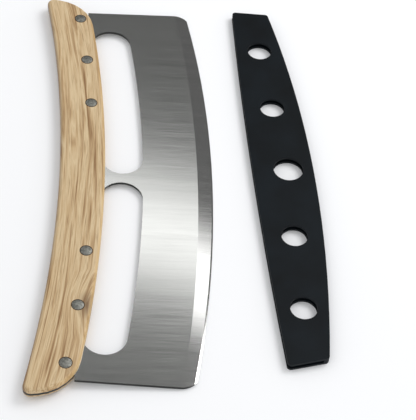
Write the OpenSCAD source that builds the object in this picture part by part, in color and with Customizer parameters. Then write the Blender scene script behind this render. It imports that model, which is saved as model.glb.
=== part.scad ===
// Rocking pizza knife with riveted wooden scales, and its moulded edge cover lying beside it.
// The knife lies on its side on a table at z = 0: it touches at the middle of the cutting edge,
// which is the origin, and along the front of its lower scale. +X runs from the handle past the
// cutting edge to the cover, +Y along the knife, +Z up. Lengths are in millimetres.

/* [Blade] */
// Length of the blade at its cutting edge
blade_len = 340; // [300:1:380]
// Thickness of the steel sheet
blade_t = 2; // [1.5:0.1:3]
// Radius of the rocking cutting edge
edge_radius = 935; // [700:5:1400]
// How fast the blade grows longer towards the edge, in length per width, at each end
end_flare = 0.04; // [0:0.01:0.1]
// Radius of the blade's two free corners
blade_corner_r = 13; // [6:0.5:18]
// Depth from the end of the rounded corner back to the cutting edge's middle
blade_corner_back = 11.5; // [8:0.5:13]

/* [Ground edge] */
// Width of the ground bevel at the middle of the blade
bevel_w = 10.4; // [7:0.1:14]
// Radius of the line where the bevel starts
bevel_radius = 1080; // [900:10:1600]
// Steel left where the ground bevel ends
bevel_end_t = 0.7; // [0.5:0.05:1]
// Angle of the honed edge on each side
hone_angle = 20; // [15:1:25]
// Steel left at the very edge
edge_t = 0.1; // [0.05:0.05:0.3]

/* [Finger slots] */
// Width of each curved slot in the steel
slot_w = 29.2; // [24:0.2:31]
// Steel between the slots and the cutting edge, at the middle
slot_setback = 48.3; // [46:0.1:54]
// Narrowest width of the bridge between the two slots
bridge_w = 8.2; // [6:0.1:14]
// How far the slots stop before the ends of the blade
slot_end_gap = 22.6; // [18:0.1:34]

/* [Handle] */
// Length of the handle from corner to corner
handle_len = 356; // [330:1:390]
// Distance from the cutting edge's middle to the front of the handle
handle_front = 74.8; // [72:0.1:77]
// Width of the handle at its middle
handle_w = 31.3; // [26:0.1:38]
// Radius of the handle's front
front_radius = 985; // [800:5:1400]
// Radius of the handle's hollow back
back_radius = 960; // [800:5:1400]
// Radius of the corners at the back of the handle
back_corner_r = 5; // [3.5:0.1:8]
// Radius of the rounded front corners
front_corner_r = 30; // [20:0.5:40]
// Slope of the handle's ends
end_slope = 8; // [4:0.5:14]
// Thickness of each wooden scale
scale_t = 3.2; // [3:0.1:8]
// Radius that rounds the outer rim of each scale
scale_round = 2.8; // [1:0.1:2.9]

/* [Rivets] */
// Distance of the innermost rivets from the middle
rivet_first = 67.9; // [40:0.1:72]
// Spacing from one rivet to the next along the knife
rivet_pitch = 44.3; // [30:0.1:46]
// Distance of the rivets from the front of the handle
rivet_inset = 9; // [8:0.1:14]
// Diameter of the rivet heads
rivet_head_d = 8.1; // [6.5:0.1:10]
// Depth to which a head is let into its scale
rivet_head_h = 1.2; // [0.8:0.1:1.6]
// Height of the head's dome above the wood
rivet_dome = 0.3; // [0.1:0.05:0.6]
// Outer diameter of the hollow half of a rivet
sleeve_d = 5; // [4.4:0.1:5.6]
// Diameter of the solid half of a rivet
pin_d = 3; // [2.4:0.1:3.6]

/* [Edge cover] */
// How far the cover stops short of each end of the blade
cover_short = 8.9; // [2:0.1:14]
// Width of the cover at its middle
cover_w = 42.7; // [36:0.1:45]
// Thickness of the cover
cover_t = 5.6; // [4.8:0.1:8]
// Plastic between the blade's edge and the cover's outer edge
cover_web = 2.4; // [1.6:0.1:4]
// How much flatter the cover's outer edge is than the blade's, as added radius
cover_flatten = 70; // [0:5:120]
// Radius of the cover's mouth side, which bulges slightly
mouth_radius = 4400; // [3000:100:8000]
// Slant of the cover's ends
cover_end_slant = 8.6; // [0:0.2:14]
// Radius of the cover's corners
cover_corner_r = 2.5; // [1:0.1:5]
// Diameter of the four outer holes
cover_hole_d = 18; // [14:0.5:20]
// Diameter of the middle hole
cover_mid_hole_d = 21; // [14:0.5:22]
// Spacing of the holes along the cover
cover_hole_pitch = 60; // [50:0.5:64]
// Distance of the middle hole behind the cover's outer edge
cover_mid_hole_back = 17.6; // [16:0.1:22]
// Distance of the outer holes' arc behind the cover's outer edge, at the middle
cover_hole_back = 20.7; // [19:0.1:23]
// Radius of the arc through the outer holes
cover_hole_arc = 2500; // [2000:50:4000]

/* [Where the cover lies] */
// Gap between the cutting edge's middle and the cover's mouth
cover_gap = 28.2; // [5:0.1:60]
// How far the cover lies shifted along the knife
cover_shift = 9.5; // [-20:0.1:20]
// How far the cover is turned from the knife
cover_turn = 3.8; // [-6:0.1:6]

/* [Clearances] */
// Clearance on each side of the blade in the cover
cover_clear = 0.15; // [0.1:0.05:0.4]
// Clearance round a rivet's sleeve in the wood and steel
rivet_clear = 0.1; // [0.05:0.05:0.25]
// Clearance round a rivet's head in its recess
head_clear = 0.05; // [0.05:0.05:0.2]
// Clearance of the solid rivet half in the hollow half, as radius
pin_clear = 0.02; // [0.01:0.01:0.05]
// Gap left between the two halves of a closed rivet
rivet_gap = 0.2; // [0.1:0.05:0.4]

/* [Hidden] */

steel_color = [0.70, 0.71, 0.69];
wood_color = [0.78, 0.65, 0.45];
rivet_color = [0.55, 0.55, 0.52];
plastic_color = [0.03, 0.04, 0.05];

// Number of rivets on each side of the middle, as many as the nodes above
rivets_per_side = 3;

// Facets of the long arcs and of the small rounds
long_fn = 1440;
round_fn = 96;
// Segments along each long arc of the handle's outline, and along its corners and rounded rim
arc_steps = 16;
corner_steps = 6;
rim_steps = 5;
// Cuts run this far past the faces they open
over = 1;

// Half-thickness of the handle, and the tilt at which the knife lies on edge and lower scale
stack = blade_t / 2 + scale_t;
rest_arm = handle_front + scale_round;
rest_drop = stack - scale_round - edge_t / 2;
tilt = asin(scale_round / norm([rest_arm, rest_drop])) + atan(rest_drop / rest_arm);
lift = edge_t / 2 * cos(tilt);

// Centres of the handle's long arcs, on the line across the middle of the knife
front_cx = -handle_front - front_radius;
back_cx = -handle_front - handle_w - back_radius;

// Corner arcs of the handle at +Y, each tangent to its long arc and to the sloping end
back_corner_y = handle_len / 2 - back_corner_r;
back_corner = [back_cx + sqrt(pow(back_radius + back_corner_r, 2) - pow(back_corner_y, 2)), back_corner_y];
end_normal = [sin(end_slope), cos(end_slope)];
end_offset = back_corner * end_normal + back_corner_r;
front_corner = line_circle(end_normal, end_offset - front_corner_r, front_cx,
                           front_radius - front_corner_r, 1);

// Angles at which the arcs of the handle's outline meet
front_turn = atan2(front_corner[1], front_corner[0] - front_cx);
back_turn = atan2(back_corner[1], back_corner[0] - back_cx);
end_turn = 90 - end_slope;

// Middle line of the finger slots, and where the slots' round ends sit on it
slot_r = slot_w / 2;
slot_cx = -slot_setback - edge_radius;
slot_mid_radius = edge_radius - slot_r;
slot_inner = asin((bridge_w / 2 + slot_r) / slot_mid_radius);
slot_outer = asin((blade_len / 2 - slot_end_gap - slot_r) / slot_mid_radius);

// Rivet places, from the far end of the knife to the near end
rivet_y = [for (k = [rivets_per_side - 1 : -1 : 0]) rivet_first + k * rivet_pitch,
           for (k = [0 : rivets_per_side - 1]) -rivet_first - k * rivet_pitch];
rivet_arc = front_radius - rivet_inset;
rivet_head_top = stack;
rivet_seat = stack - rivet_head_h;

// Sizes of the cover, whose own origin is the middle of its outer edge
cover_len = blade_len - 2 * cover_short;
cover_radius = edge_radius + cover_flatten;
pocket_t = blade_t + 2 * cover_clear;
pocket_radius = edge_radius + cover_clear;

// Centres of the cover's corners at +Y, each tangent to its slanting end and to one long side
cover_normal = [sin(cover_end_slant), cos(cover_end_slant)];
cover_end = cover_normal * [-cover_w / 2, cover_len / 2];
mouth_cx = mouth_radius - cover_w;
cover_edge_corner = line_circle(cover_normal, cover_end - cover_corner_r, -cover_radius,
                                cover_radius - cover_corner_r, 1);
cover_mouth_corner = line_circle(cover_normal, cover_end - cover_corner_r, mouth_cx,
                                 mouth_radius - cover_corner_r, -1);

// Point where a line n * p = h meets the circle of radius r about [cx, 0], right (1) or left (-1)
function line_circle(n, h, cx, r, side) =
    let (d = h - n[0] * cx, foot = [cx + n[0] * d, n[1] * d], half = sqrt(r * r - d * d))
    foot + side * half * [n[1], -n[0]];

// Half-length of the blade at a distance x from its cutting edge's middle
function blade_end(x) = blade_len / 2 + end_flare * (x + blade_corner_r);

// Points of an arc about c from angle a to angle b
function arc(c, r, a, b, steps) =
    [for (k = [0 : steps]) let (t = a + (b - a) * k / steps) c + r * [cos(t), sin(t)]];

// Outline of the handle at +Y, drawn inwards by d all round, from its front to its back
function half_outline(d) = concat(
    arc([front_cx, 0], front_radius - d, 0, front_turn, arc_steps),
    [for (p = [1 : corner_steps])
        arc(front_corner, front_corner_r - d, front_turn, end_turn, corner_steps)[p]],
    arc(back_corner, back_corner_r - d, end_turn, 180 + back_turn, corner_steps),
    [for (p = [1 : arc_steps])
        arc([back_cx, 0], back_radius + d, back_turn, 0, arc_steps)[p]]);

// Whole outline, counter-clockwise, made of the +Y half and its mirror image
function outline(d) =
    let (h = half_outline(d), n = len(h))
    concat(h, [for (k = [n - 2 : -1 : 1]) [h[k][0], -h[k][1]]]);

// Rings of a scale, from the face on the steel up round the rim to the outer face
function scale_rings() = concat(
    [[0, 0]],
    [for (k = [0 : rim_steps]) let (t = 90 * k / rim_steps)
        [scale_round * (1 - cos(t)), scale_t - scale_round + scale_round * sin(t)]]);

// Lays the knife down on its edge and lower scale
module lay_knife() {
    translate([0, 0, lift]) rotate([0, tilt, 0]) children();
}

// Puts the cover where it lies on the table
module lay_cover() {
    translate([cover_gap + cover_w / 2, cover_shift, 0])
        rotate([0, 0, cover_turn]) translate([cover_w / 2, 0, 0]) children();
}

// Places children at rivet k, counted from 1 at the far end
module at_rivet(k) {
    y = rivet_y[k - 1];
    translate([front_cx + sqrt(rivet_arc * rivet_arc - y * y), y, 0]) children();
}

// Every rivet's hole through a stack of half-height h
module rivet_holes(h) {
    for (k = [1 : len(rivet_y)]) at_rivet(k)
        cylinder(d = sleeve_d + 2 * rivet_clear, h = 2 * h, center = true, $fn = round_fn);
}

// Long disc that ends at a curved side whose middle is at x and whose radius is r
module arc_disc(x, r) {
    translate([x - r, 0]) circle(r = r, $fn = long_fn);
}

// Flat shape of the free blade, from under the handle to past the cutting edge
module blade_shape() {
    root = -handle_front - handle_w / 2;
    lean = atan(end_flare);
    corner_x = -blade_corner_back - blade_corner_r;
    corner = [corner_x, blade_end(corner_x) - blade_corner_r / cos(lean)];
    half = concat([[over, corner[1] - blade_corner_r / 2]],
                  arc(corner, blade_corner_r, 0, 90 + lean, 2 * corner_steps),
                  [[root, blade_end(root)]]);
    polygon(concat(half, [for (k = [len(half) - 1 : -1 : 0]) [half[k][0], -half[k][1]]]));
}

// One curved finger slot with round ends, on the side s of the middle
module slot_shape(s) {
    c = [slot_cx, 0];
    inner = c + slot_mid_radius * [cos(slot_inner), sin(slot_inner)];
    outer = c + slot_mid_radius * [cos(slot_outer), sin(slot_outer)];
    caps = 4 * corner_steps;
    points = concat(
        arc(c, slot_mid_radius + slot_r, slot_inner, slot_outer, arc_steps),
        [for (p = [1 : caps - 1]) arc(outer, slot_r, slot_outer, slot_outer + 180, caps)[p]],
        arc(c, slot_mid_radius - slot_r, slot_outer, slot_inner, arc_steps),
        [for (p = [1 : caps - 1]) arc(inner, slot_r, slot_inner + 180, slot_inner + 360, caps)[p]]);
    polygon([for (p = points) [p[0], s * p[1]]]);
}

// Round slab that is thinned from radius r0 to r1, from half-thickness h0 to h1
module thinned_disc(x, r0, r1, h0, h1) {
    translate([x, 0, 0]) rotate([0, 0, 180]) rotate_extrude($fn = long_fn)
        polygon([[0, -h0], [r0, -h0], [r1, -h1], [r1, h1], [r0, h0], [0, h0]]);
}

// Steel sheet with its tang, finger slots, rivet holes and ground edge
module blade() {
    hone_w = (blade_t - edge_t) / 2 / tan(hone_angle);
    bevel_cx = -bevel_w - bevel_radius;
    bevel_drop = (blade_t - bevel_end_t) / 2 / bevel_w;
    bevel_far = bevel_w + over;
    color(steel_color) lay_knife() intersection() {
        difference() {
            translate([0, 0, -blade_t / 2]) linear_extrude(blade_t) difference() {
                union() {
                    blade_shape();
                    polygon(outline(0));
                }
                for (s = [-1, 1]) slot_shape(s);
            }
            rivet_holes(blade_t);
        }
        thinned_disc(bevel_cx, bevel_radius, bevel_radius + bevel_far,
                     blade_t / 2, blade_t / 2 - bevel_far * bevel_drop);
        thinned_disc(-edge_radius, edge_radius - hone_w, edge_radius, blade_t / 2, edge_t / 2);
    }
}

// One wooden scale, its flat inner face at z = 0 and its rounded rim above
module scale_blank() {
    rings = scale_rings();
    n = len(outline(0));
    last = len(rings) - 1;
    points = [for (r = rings) for (p = outline(r[0])) [p[0], p[1], r[1]]];
    sides = [for (j = [0 : last - 1]) for (k = [0 : n - 1])
        let (a = j * n + k, b = j * n + (k + 1) % n) [a, a + n, b + n, b]];
    bottom = [for (k = [0 : n - 1]) k];
    top = [for (k = [n - 1 : -1 : 0]) last * n + k];
    polyhedron(points = points, faces = concat([bottom], sides, [top]), convexity = 4);
}

// Scale on the side s of the steel: 1 is the upper one, -1 the lower one
module handle_scale(s) {
    color(wood_color) lay_knife() mirror([0, 0, s > 0 ? 0 : 1]) difference() {
        translate([0, 0, blade_t / 2]) scale_blank();
        rivet_holes(stack + over);
        for (k = [1 : len(rivet_y)]) at_rivet(k) translate([0, 0, rivet_seat])
            cylinder(d = rivet_head_d + 2 * head_clear, h = rivet_head_h + over, $fn = round_fn);
    }
}

// Domed rivet head, its underside at the bottom of its recess
module rivet_head() {
    dome_r = (pow(rivet_head_d / 2, 2) + pow(rivet_dome, 2)) / (2 * rivet_dome);
    intersection() {
        translate([0, 0, rivet_seat])
            cylinder(d = rivet_head_d, h = rivet_head_h + rivet_dome, $fn = round_fn);
        translate([0, 0, rivet_head_top + rivet_dome - dome_r]) sphere(r = dome_r, $fn = 4 * round_fn);
    }
}

// Hollow half of rivet k, whose head shows on the upper scale
module rivet_sleeve(k) {
    tube_end = -rivet_seat + rivet_gap;
    color(rivet_color) lay_knife() at_rivet(k) difference() {
        union() {
            rivet_head();
            translate([0, 0, tube_end]) cylinder(d = sleeve_d, h = rivet_seat - tube_end, $fn = round_fn);
        }
        translate([0, 0, tube_end - over])
            cylinder(d = pin_d + 2 * pin_clear, h = rivet_seat - tube_end + over, $fn = round_fn);
    }
}

// Solid half of rivet k, pressed into the sleeve from the lower scale
module rivet_pin(k) {
    color(rivet_color) lay_knife() at_rivet(k) mirror([0, 0, 1]) union() {
        rivet_head();
        translate([0, 0, rivet_gap - rivet_seat])
            cylinder(d = pin_d, h = 2 * rivet_seat - rivet_gap, $fn = round_fn);
    }
}

// What is cut off a sharp corner to leave an arc about c, between the directions a and b
module corner_cut(c, r, a, b) {
    reach = 3 * r;
    mid = (a + b) / 2;
    difference() {
        polygon([c, c + reach * [cos(a), sin(a)],
                 c + reach * sqrt(2) * [cos(mid), sin(mid)], c + reach * [cos(b), sin(b)]]);
        translate(c) circle(r = r, $fn = round_fn);
    }
}

// Flat shape of the cover, with its outer edge's middle at the origin
module cover_shape() {
    lean = tan(cover_end_slant);
    left = -cover_w - 2 * over;
    left_end = cover_len / 2 - lean * (left + cover_w / 2);
    right_end = cover_len / 2 - lean * (over + cover_w / 2);
    edge_turn = atan2(cover_edge_corner[1], cover_edge_corner[0] + cover_radius);
    mouth_turn = atan2(cover_mouth_corner[1], cover_mouth_corner[0] - mouth_cx);
    difference() {
        intersection() {
            arc_disc(0, cover_radius);
            translate([mouth_cx, 0]) circle(r = mouth_radius, $fn = long_fn);
            polygon([[left, -left_end], [over, -right_end], [over, right_end], [left, left_end]]);
        }
        for (m = [0, 1]) mirror([0, m, 0]) {
            corner_cut(cover_edge_corner, cover_corner_r, edge_turn, 90 - cover_end_slant);
            corner_cut(cover_mouth_corner, cover_corner_r, 90 - cover_end_slant, mouth_turn);
        }
    }
}

// Places of the cover's holes, from one end to the other, each with its diameter
function cover_holes() = concat(
    [[-cover_mid_hole_back, 0, cover_mid_hole_d]],
    [for (k = [-2, -1, 1, 2]) let (y = k * cover_hole_pitch)
        [sqrt(pow(cover_hole_arc, 2) - y * y) - cover_hole_arc - cover_hole_back, y, cover_hole_d]]);

// Moulded cover: two walls joined along the outer edge, open at the mouth and both ends
module blade_cover() {
    color(plastic_color) lay_cover() difference() {
        linear_extrude(cover_t) cover_shape();
        translate([0, 0, (cover_t - pocket_t) / 2]) intersection() {
            translate([-cover_web - pocket_radius, 0, 0])
                cylinder(r = pocket_radius, h = pocket_t, $fn = long_fn);
            translate([-2 * cover_w, -blade_len, 0])
                cube([2 * cover_w, 2 * blade_len, pocket_t]);
        }
        for (h = cover_holes()) translate([h[0], h[1], -over])
            cylinder(d = h[2], h = cover_t + 2 * over, $fn = round_fn);
    }
}

blade();
handle_scale(1);  // upper_scale
handle_scale(-1);  // lower_scale
blade_cover();
for (k = [1 : len(rivet_y)]) {
    rivet_sleeve(k);
    rivet_pin(k);
}
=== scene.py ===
"""Rocking pizza knife with riveted wooden scales, and its moulded edge cover beside it.

The CAD nodes carry the shapes. This script dresses them, adds a thin dark rim of painted shade
round each rivet's head, and sets the table, the lights and the camera.
Lengths are in metres, in the CAD frame: the origin is the middle of the cutting edge, +X points
from the handle to the cover, +Y along the knife and +Z up.
"""

import logging
import math
from dataclasses import dataclass, field

import bpy
from mathutils import Matrix, Vector


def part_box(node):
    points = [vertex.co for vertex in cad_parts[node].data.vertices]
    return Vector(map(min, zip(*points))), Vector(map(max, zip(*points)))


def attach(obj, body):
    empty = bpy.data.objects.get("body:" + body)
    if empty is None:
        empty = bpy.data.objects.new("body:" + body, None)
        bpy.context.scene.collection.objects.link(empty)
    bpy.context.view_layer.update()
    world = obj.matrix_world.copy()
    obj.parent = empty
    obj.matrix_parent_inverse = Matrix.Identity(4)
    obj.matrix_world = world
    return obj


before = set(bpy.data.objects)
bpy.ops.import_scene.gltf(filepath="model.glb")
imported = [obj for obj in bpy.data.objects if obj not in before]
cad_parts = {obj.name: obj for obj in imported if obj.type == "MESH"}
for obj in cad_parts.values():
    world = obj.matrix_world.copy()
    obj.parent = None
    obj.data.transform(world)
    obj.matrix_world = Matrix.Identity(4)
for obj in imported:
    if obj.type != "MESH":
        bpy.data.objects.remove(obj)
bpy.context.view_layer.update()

LOG = logging.getLogger("pizza_knife")
MM = 0.001

Stops = tuple[tuple[float, str], ...]
Triple = tuple[float, float, float]


def linear(code: str) -> tuple[float, float, float, float]:
    """Turns an sRGB hex colour into linear light.

    Args:
        code: Six hex digits, such as "c8a878".

    Returns:
        Red, green, blue and an alpha of 1.
    """
    parts = [int(code[i : i + 2], 16) / 255 for i in (0, 2, 4)]
    light = [c / 12.92 if c <= 0.04045 else ((c + 0.055) / 1.055) ** 2.4 for c in parts]
    return light[0], light[1], light[2], 1.0


class Tree:
    """The node tree of a material or a world, with one call that adds a node."""

    def __init__(self, owner: bpy.types.Material | bpy.types.World) -> None:
        """Turns the nodes on and keeps the tree.

        Args:
            owner: The material or the world.
        """
        owner.use_nodes = True
        self.nodes = owner.node_tree.nodes
        self.links = owner.node_tree.links

    def add(self, kind: str, inputs: list | dict | None = None, out: int | str = 0,
            stops: Stops = (), **settings: object) -> bpy.types.NodeSocket:
        """Adds a node.

        Args:
            kind: Its type, without the words ShaderNode.
            inputs: What goes into its inputs, in order or by name: a socket or a value.
            out: The output that is wanted.
            stops: A colour ramp's places from 0 to 1, each with its hex colour.
            settings: Its own properties.

        Returns:
            The wanted output.
        """
        node = self.nodes.new("ShaderNode" + kind)
        for key, value in settings.items():
            setattr(node, key, value)
        pairs = inputs.items() if isinstance(inputs, dict) else enumerate(inputs or [])
        for key, value in pairs:
            self.feed(node.inputs[key], value)
        if stops:
            places = node.color_ramp.elements
            while len(places) < len(stops):
                places.new(0.5)
            for place, (where, code) in zip(places, stops):
                place.position = where
                place.color = linear(code)
        return node.outputs[out]

    def feed(self, socket: bpy.types.NodeSocket, value: object) -> None:
        """Links a socket into another, or sets its value.

        Args:
            socket: The input.
            value: The socket to link, or the value to set.
        """
        if isinstance(value, bpy.types.NodeSocket):
            self.links.new(value, socket)
        else:
            socket.default_value = value


class FinishTree(Tree):
    """A material's node tree, with its Principled shader."""

    def __init__(self, name: str) -> None:
        """Makes the material.

        Args:
            name: The material's name.
        """
        self.material = bpy.data.materials.new(name)
        super().__init__(self.material)
        self.shader = self.nodes["Principled BSDF"]

    def finish(self, values: dict) -> bpy.types.Material:
        """Feeds the Principled shader.

        Args:
            values: What goes into its inputs, by name.

        Returns:
            The material.
        """
        for key, value in values.items():
            self.feed(self.shader.inputs[key], value)
        return self.material


@dataclass(frozen=True)
class Layout:
    """Where the knife's long arcs are, as the CAD model has them.

    The knife bends about one side, so patterns follow the distance from a bend's centre and the
    place along it. Each centre is a place on the X axis.
    """

    front_centre: float = -1059.8 * MM
    front_radius: float = 985 * MM
    bevel_centre: float = -1090.4 * MM
    bevel_radius: float = 1080 * MM
    tilt: float = math.radians(3.06)


class BentSpace:
    """Coordinates across and along a bent part, for grain and brushing."""

    def __init__(self, tree: Tree, centre: float, radius: float) -> None:
        """Measures from an arc about a point on the X axis.

        Args:
            tree: The material's tree.
            centre: The arc's centre on the X axis.
            radius: The arc's radius.
        """
        self.place = tree.add("TexCoord", out="Object")
        split = tree.add("SeparateXYZ", [self.place]).node.outputs
        self.y, self.z = split["Y"], split["Z"]
        x = tree.add("Math", [split["X"], centre], operation="SUBTRACT")
        x_square = tree.add("Math", [x, x], operation="MULTIPLY")
        y_square = tree.add("Math", [self.y, self.y], operation="MULTIPLY")
        square = tree.add("Math", [x_square, y_square], operation="ADD")
        distance = tree.add("Math", [square], operation="SQRT")
        self.across = tree.add("Math", [distance, radius], operation="SUBTRACT")


@dataclass(frozen=True)
class OliveWood:
    """Olive wood scales, sawn along the grain, sanded and oiled.

    Pale tan wood with brown streaks that wave along the handle, a swirl near its lower end and a
    low satin sheen. The hollow back side is painted darker as painted shade, and the front side is
    painted honey-coloured as a painted highlight. The streaks are 1 to 4 mm apart.
    """

    pale: str = "d6bf98"
    tan: str = "c2a47a"
    brown: str = "8c683f"
    # dark serves both the knot and the painted shade on the back side; honey is the painted highlight on the
    # front side.
    dark: str = "63452a"
    highlight_honey: str = "e2bd7e"
    ior: float = 1.5
    streak: float = 3.0 * MM
    fibre: float = 0.5 * MM
    grain_draw: float = 0.03
    wave_length: float = 9 * MM
    wave_height: float = 9 * MM
    wave_draw: float = 0.05
    knot_x: float = -84 * MM
    knot_y: float = -112 * MM
    knot_reach: float = 16 * MM
    knot_bulge: float = 7 * MM
    knot_draw: float = 0.55
    relief: float = 0.05 * MM

    def build(self, lay: Layout) -> bpy.types.Material:
        """Makes the material.

        Args:
            lay: Where the knife's arcs are.

        Returns:
            The material.
        """
        tree = FinishTree("olive_wood")
        bent = BentSpace(tree, lay.front_centre, lay.front_radius)
        swirl = self.swirl(tree, bent)
        grain = self.grain(tree, bent, swirl)
        coarse = tree.add("TexNoise", {"Vector": grain, "Scale": 1 / self.streak, "Detail": 4.0,
                                       "Roughness": 0.6, "Distortion": 0.4})
        fine = tree.add("TexNoise", {"Vector": grain, "Scale": 1 / self.fibre, "Detail": 3.0})
        body = tree.add("ValToRGB", [coarse], stops=((0.33, self.brown), (0.44, self.tan), (0.54, self.pale),
                                                     (0.61, self.tan), (0.70, self.brown)))
        lines = tree.add("MapRange", [fine, 0.53, 0.70, 0.0, 0.6])
        heart = tree.add("MapRange", [swirl, 0.55, 0.95, 0.0, 0.75])
        # Painted shade and painted highlight: the side facing -X is painted darker and the side facing +X is
        # painted honey, by which way the surface faces.
        normal = tree.add("NewGeometry", out="Normal")
        facing = tree.add("SeparateXYZ", [normal])
        back = tree.add("MapRange", [facing, -0.25, -0.95, 0.0, 0.6])
        lit_front_highlight = tree.add("MapRange", [facing, 0.2, 0.8, 0.0, 0.45])
        colour = body
        for share, code in ((lines, self.brown), (heart, self.dark), (back, self.dark), (lit_front_highlight, self.highlight_honey)):
            colour = tree.add("Mix", {0: share, 6: colour, 7: linear(code)}, out=2, data_type="RGBA")
        bump = tree.add("Bump", {"Height": fine, "Strength": 0.12, "Distance": self.relief})
        rough = tree.add("MapRange", [coarse, 0.3, 0.7, 0.52, 0.42])
        return tree.finish({"Base Color": colour, "Roughness": rough, "IOR": self.ior, "Normal": bump})

    def swirl(self, tree: Tree, bent: BentSpace) -> bpy.types.NodeSocket:
        """Works out how near a point is to the knot.

        Args:
            tree: The material's tree.
            bent: The bent coordinates.

        Returns:
            1 at the knot, falling to 0 at its reach.
        """
        flat = tree.add("VectorMath", [bent.place, (1.0, self.knot_draw, 0.0)], operation="MULTIPLY")
        knot = (self.knot_x, self.knot_y * self.knot_draw, 0.0)
        gap = tree.add("VectorMath", [flat, knot], out="Value", operation="DISTANCE")
        return tree.add("MapRange", [gap, 0.0, self.knot_reach, 1.0, 0.0])

    def grain(self, tree: Tree, bent: BentSpace, swirl: bpy.types.NodeSocket) -> bpy.types.NodeSocket:
        """Draws the coordinates out along the handle, waving, and bulging round the knot.

        Args:
            tree: The material's tree.
            bent: The bent coordinates.
            swirl: How near a point is to the knot.

        Returns:
            The grain's coordinates.
        """
        drawn = tree.add("Math", [bent.y, self.wave_draw], operation="MULTIPLY")
        smooth = tree.add("CombineXYZ", [bent.across, drawn, bent.z])
        wave = tree.add("TexNoise", {"Vector": smooth, "Scale": 1 / self.wave_length, "Detail": 2.0})
        sway = tree.add("Math", [wave, self.wave_height], operation="MULTIPLY")
        bulge = tree.add("Math", [swirl, self.knot_bulge], operation="MULTIPLY")
        swayed = tree.add("Math", [bent.across, sway], operation="ADD")
        across = tree.add("Math", [swayed, bulge], operation="ADD")
        along = tree.add("Math", [bent.y, self.grain_draw], operation="MULTIPLY")
        return tree.add("CombineXYZ", [across, along, bent.z])


@dataclass(frozen=True)
class BrushedStainless:
    """Stainless sheet, belt-brushed across the blade, with a ground and polished bevel.

    Fine lines run from the handle to the edge, so highlights spread along the knife. Real lines
    are 0.05 mm apart and are drawn at 0.6 mm, so that they show. The sheet's cut walls are
    painted dark grey as painted shade.
    """

    sheet: str = "e9eae7"
    polished: str = "f1f1ef"
    painted_wall_tone: str = "3a3b3a"
    line: float = 0.6 * MM
    patch: float = 7 * MM
    line_draw: float = 0.02
    border: float = 0.15 * MM
    relief: float = 0.03 * MM
    bevel_polish: float = 0.05

    def build(self, lay: Layout) -> bpy.types.Material:
        """Makes the material.

        Args:
            lay: Where the knife's arcs are.

        Returns:
            The material.
        """
        tree = FinishTree("brushed_stainless")
        bent = BentSpace(tree, lay.bevel_centre, lay.bevel_radius)
        drawn = tree.add("Math", [bent.across, self.line_draw], operation="MULTIPLY")
        brushing = tree.add("CombineXYZ", [drawn, bent.y])
        lines = tree.add("TexNoise", {"Vector": brushing, "Scale": 1 / self.line, "Detail": 4.0})
        patches = tree.add("TexNoise", {"Vector": brushing, "Scale": 1 / self.patch, "Detail": 2.0})
        ground = tree.add("MapRange", [bent.across, -self.border, self.border, 0.0, 1.0])
        fine = tree.add("MapRange", [lines, 0.3, 0.7, 0.9, 1.0])
        broad = tree.add("MapRange", [patches, 0.35, 0.65, 0.94, 1.0])
        shade = tree.add("Math", [fine, broad], operation="MULTIPLY")
        grey = tree.add("CombineColor", [shade, shade, shade])
        metal = tree.add("Mix", {0: ground, 6: linear(self.sheet), 7: linear(self.polished)}, out=2,
                         data_type="RGBA")
        brushed = tree.add("Mix", {0: 1.0, 6: metal, 7: grey}, out=2, data_type="RGBA", blend_type="MULTIPLY")
        # Painted shade: faces that stand upright are painted dark grey instead of mirroring the bright room.
        normal = tree.add("NewGeometry", out="Normal")
        upright = tree.add("Math", [tree.add("SeparateXYZ", [normal], out="Z")], operation="ABSOLUTE")
        wall_shade_share = tree.add("MapRange", [upright, 0.75, 0.5, 0.0, 1.0])
        colour = tree.add("Mix", {0: wall_shade_share, 6: brushed, 7: linear(self.painted_wall_tone)}, out=2, data_type="RGBA")
        brushed_rough = tree.add("MapRange", [lines, 0.3, 0.7, 0.11, 0.15])
        polish = tree.add("Math", [ground, self.bevel_polish], operation="MULTIPLY")
        rough = tree.add("Math", [brushed_rough, polish], operation="SUBTRACT")
        bump = tree.add("Bump", {"Height": lines, "Strength": 0.10, "Distance": self.relief})
        return tree.finish({"Base Color": colour, "Metallic": 1.0, "Roughness": rough, "Normal": bump})


@dataclass(frozen=True)
class RivetSteel:
    """Nickel-plated steel rivets, turned and polished by hand after setting.

    A dull grey dome with fine scratches, a little mottled.
    """

    dome: str = "c2c2ba"
    dull: str = "8f908a"
    mottle: float = 1.5 * MM
    relief: float = 0.05 * MM

    def build(self) -> bpy.types.Material:
        """Makes the material.

        Returns:
            The material.
        """
        tree = FinishTree("rivet_steel")
        place = tree.add("TexCoord", out="Object")
        mottle = tree.add("TexNoise", {"Vector": place, "Scale": 1 / self.mottle, "Detail": 5.0})
        colour = tree.add("ValToRGB", [mottle], stops=((0.35, self.dull), (0.62, self.dome)))
        rough = tree.add("MapRange", [mottle, 0.3, 0.7, 0.5, 0.34])
        bump = tree.add("Bump", {"Height": mottle, "Strength": 0.1, "Distance": self.relief})
        return tree.finish({"Base Color": colour, "Metallic": 1.0, "Roughness": rough, "Normal": bump})


@dataclass(frozen=True)
class RecessShade:
    """Painted shade in the recess round a rivet's head, dark and matt."""

    dark: str = "2e2115"
    light: str = "4b3722"
    mottle: float = 0.8 * MM
    rough: float = 0.8

    def build(self) -> bpy.types.Material:
        """Makes the material.

        Returns:
            The material.
        """
        tree = FinishTree("painted_recess_shade")
        place = tree.add("TexCoord", out="Object")
        mottle = tree.add("TexNoise", {"Vector": place, "Scale": 1 / self.mottle, "Detail": 3.0})
        colour = tree.add("ValToRGB", [mottle], stops=((0.3, self.dark), (0.8, self.light)))
        return tree.finish({"Base Color": colour, "Roughness": self.rough})


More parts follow.
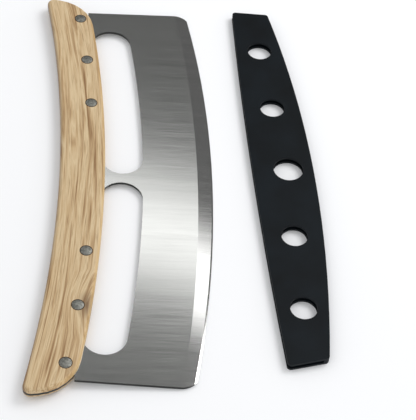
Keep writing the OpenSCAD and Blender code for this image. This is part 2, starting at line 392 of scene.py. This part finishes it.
@dataclass(frozen=True)
class SatinPolypropylene:
    """Black polypropylene, injection moulded in a finely spark-eroded mould.

    Near-black with a trace of blue, a soft sheen and a very fine even grain.
    """

    deep: str = "060d12"
    light: str = "0c161d"
    ior: float = 1.49
    specular: float = 0.25
    grain: float = 0.35 * MM
    patch: float = 25 * MM
    relief: float = 0.03 * MM

    def build(self) -> bpy.types.Material:
        """Makes the material.

        Returns:
            The material.
        """
        tree = FinishTree("satin_polypropylene")
        place = tree.add("TexCoord", out="Object")
        fine = tree.add("TexNoise", {"Vector": place, "Scale": 1 / self.grain, "Detail": 2.0})
        broad = tree.add("TexNoise", {"Vector": place, "Scale": 1 / self.patch, "Detail": 2.0})
        colour = tree.add("ValToRGB", [broad], stops=((0.3, self.deep), (0.7, self.light)))
        bump = tree.add("Bump", {"Height": fine, "Strength": 0.15, "Distance": self.relief})
        rough = tree.add("MapRange", [fine, 0.3, 0.7, 0.58, 0.66])
        return tree.finish({"Base Color": colour, "Roughness": rough, "IOR": self.ior,
                            "Specular IOR Level": self.specular, "Normal": bump})


def dress(node: str, material: bpy.types.Material) -> None:
    """Gives a CAD node its material.

    Args:
        node: The CAD node's name.
        material: What it is made of.
    """
    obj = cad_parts[node]
    obj.data.materials.clear()
    obj.data.materials.append(material)
    LOG.info("dressed %s with %s", node, material.name)


@dataclass
class Knife:
    """The blade, its two scales and the six rivets."""

    lay: Layout = field(default_factory=Layout)
    rivets: int = 6
    rim_out: float = 4.35 * MM
    rim_in: float = 3.85 * MM
    rim_rise: float = 0.04 * MM
    rim_depth: float = 0.2 * MM
    rim_steps: int = 48
    dome_rise: float = 0.3 * MM

    def build(self) -> None:
        """Dresses the knife's nodes and adds the rims round the rivets."""
        wood = OliveWood().build(self.lay)
        dress("blade", BrushedStainless().build(self.lay))
        dress("upper_scale", wood)
        dress("lower_scale", wood)
        steel = RivetSteel().build()
        # The rims round the rivets carry painted shade, dark where the recess would lie in shade.
        recess_shade = RecessShade().build()
        for number in range(1, self.rivets + 1):
            dress(f"rivet_sleeve_{number}", steel)
            dress(f"rivet_pin_{number}", steel)
            self.rim(number, recess_shade)

    def rim(self, number: int, material: bpy.types.Material) -> bpy.types.Object:
        """Adds the dark rim of painted shade where a rivet's head meets the upper scale.

        Args:
            number: The rivet's number.
            material: The painted shade.

        Returns:
            The rim, which rides with the knife.
        """
        low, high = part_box(f"rivet_sleeve_{number}")
        middle = (low + high) / 2
        tilt = Matrix.Rotation(self.lay.tilt, 4, "Y")
        seat = middle + tilt @ Vector((0, 0, 1)) * (high.z - middle.z - self.dome_rise)
        section = ((self.rim_out, 0.0), (self.rim_in, self.rim_rise), (self.rim_in, -self.rim_depth),
                   (self.rim_out, -self.rim_depth))
        points, faces = [], []
        for ring, (radius, height) in enumerate(section):
            start = ring * self.rim_steps
            following = (ring + 1) % len(section) * self.rim_steps
            for step in range(self.rim_steps):
                turn = 2 * math.pi * step / self.rim_steps
                local = Vector((radius * math.cos(turn), radius * math.sin(turn), height))
                points.append(tuple(seat + tilt @ local))
                after = (step + 1) % self.rim_steps
                faces.append((start + step, start + after, following + after, following + step))
        mesh = bpy.data.meshes.new(f"rivet_rim_{number}")
        mesh.from_pydata(points, [], faces)
        mesh.materials.append(material)
        rim = bpy.data.objects.new(f"rivet_rim_{number}", mesh)
        bpy.context.scene.collection.objects.link(rim)
        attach(rim, "knife")
        LOG.info("made rivet_rim_%d", number)
        return rim


@dataclass
class Cover:
    """The moulded cover for the edge, which the CAD node shapes in full."""

    def build(self) -> None:
        """Dresses the cover."""
        dress("blade_cover", SatinPolypropylene().build())


@dataclass
class Studio:
    """The table, the lights and the camera.

    The camera's place and directions were solved from the photograph. The heights of the light
    band are the upward part of a direction, 0 at the horizon and 1 overhead.
    """

    table_size: float = 6.0
    table_tone: str = "f8f9fb"
    table_rough: float = 0.9
    table_specular: float = 0.1
    band_rise: tuple[float, float] = (0.733, 0.76)
    band_fall: tuple[float, float] = (0.774, 0.794)
    dark_below: float = 0.15
    band_light: float = 2.3
    dark_above: float = 0.08
    lamp_at: Triple = (0.9, 0.5, 1.2)
    lamp_size: tuple[float, float] = (0.9, 0.7)
    lamp_watts: float = 9.0
    lens_mm: float = 119.118
    sensor_mm: float = 36.0
    clip: tuple[float, float] = (0.01, 20.0)
    camera_at: Triple = (-63.125 * MM, -638.034 * MM, 724.648 * MM)
    camera_right: Triple = (0.99796, -0.02978, 0.05645)
    camera_up: Triple = (-0.01374, 0.76352, 0.64564)

    def build(self) -> None:
        """Makes the whole stage."""
        self.table()
        self.world()
        self.lamp()
        self.camera()

    def table(self) -> None:
        """Makes a pale table, with the object's shadow on it."""
        half = self.table_size / 2
        corners = [(-half, -half, 0), (half, -half, 0), (half, half, 0), (-half, half, 0)]
        mesh = bpy.data.meshes.new("table")
        mesh.from_pydata(corners, [], [(0, 1, 2, 3)])
        table = bpy.data.objects.new("table", mesh)
        bpy.context.scene.collection.objects.link(table)
        tree = FinishTree("pale_table")
        matt = tree.finish({"Base Color": linear(self.table_tone), "Roughness": self.table_rough,
                            "Specular IOR Level": self.table_specular})
        mesh.materials.append(matt)

    def world(self) -> None:
        """Lights the scene evenly, with a light band in a darker room for the steel to mirror."""
        world = bpy.data.worlds.new("studio")
        bpy.context.scene.world = world
        tree = Tree(world)
        tree.nodes.clear()
        height = tree.add("SeparateXYZ", [tree.add("TexCoord", out="Generated")], out="Z")
        rise = tree.add("MapRange", [height, *self.band_rise, self.dark_below, self.band_light])
        fall = tree.add("MapRange", [height, *self.band_fall, 1.0, self.dark_above])
        band = tree.add("Math", [rise, fall], operation="MULTIPLY")
        even = tree.add("Background", {"Strength": 1.0})
        mirrored = tree.add("Background", {"Strength": band})
        is_mirror = tree.add("LightPath", out="Is Glossy Ray")
        seen = tree.add("MixShader", [is_mirror, even, mirrored])
        end = tree.nodes.new("ShaderNodeOutputWorld")
        tree.feed(end.inputs["Surface"], seen)

    def lamp(self) -> None:
        """Adds one broad lamp, high on the right and behind, for the soft shadows on the left."""
        lamp = bpy.data.lights.new("softbox", "AREA")
        lamp.shape = "RECTANGLE"
        lamp.size, lamp.size_y = self.lamp_size
        lamp.energy = self.lamp_watts
        box = bpy.data.objects.new("softbox", lamp)
        box.location = self.lamp_at
        box.rotation_mode = "QUATERNION"
        box.rotation_quaternion = Vector(self.lamp_at).to_track_quat("Z", "Y")
        bpy.context.scene.collection.objects.link(box)

    def camera(self) -> None:
        """Sets the camera where the photograph was taken from."""
        data = bpy.data.cameras.new("camera")
        data.lens = self.lens_mm
        data.sensor_width = self.sensor_mm
        data.clip_start, data.clip_end = self.clip
        right = Vector(self.camera_right).normalized()
        up = Vector(self.camera_up)
        up = (up - right * up.dot(right)).normalized()
        back = right.cross(up)
        camera = bpy.data.objects.new("camera", data)
        turn = Matrix((right, up, back)).transposed().to_4x4()
        camera.matrix_world = Matrix.Translation(Vector(self.camera_at)) @ turn
        bpy.context.scene.collection.objects.link(camera)
        bpy.context.scene.camera = camera


def main() -> None:
    """Builds the stage and dresses the part."""
    logging.basicConfig(level=logging.INFO, format="%(message)s")
    bpy.context.scene.view_settings.view_transform = "Standard"
    Studio().build()
    Knife().build()
    Cover().build()


if __name__ == "__main__":
    main()
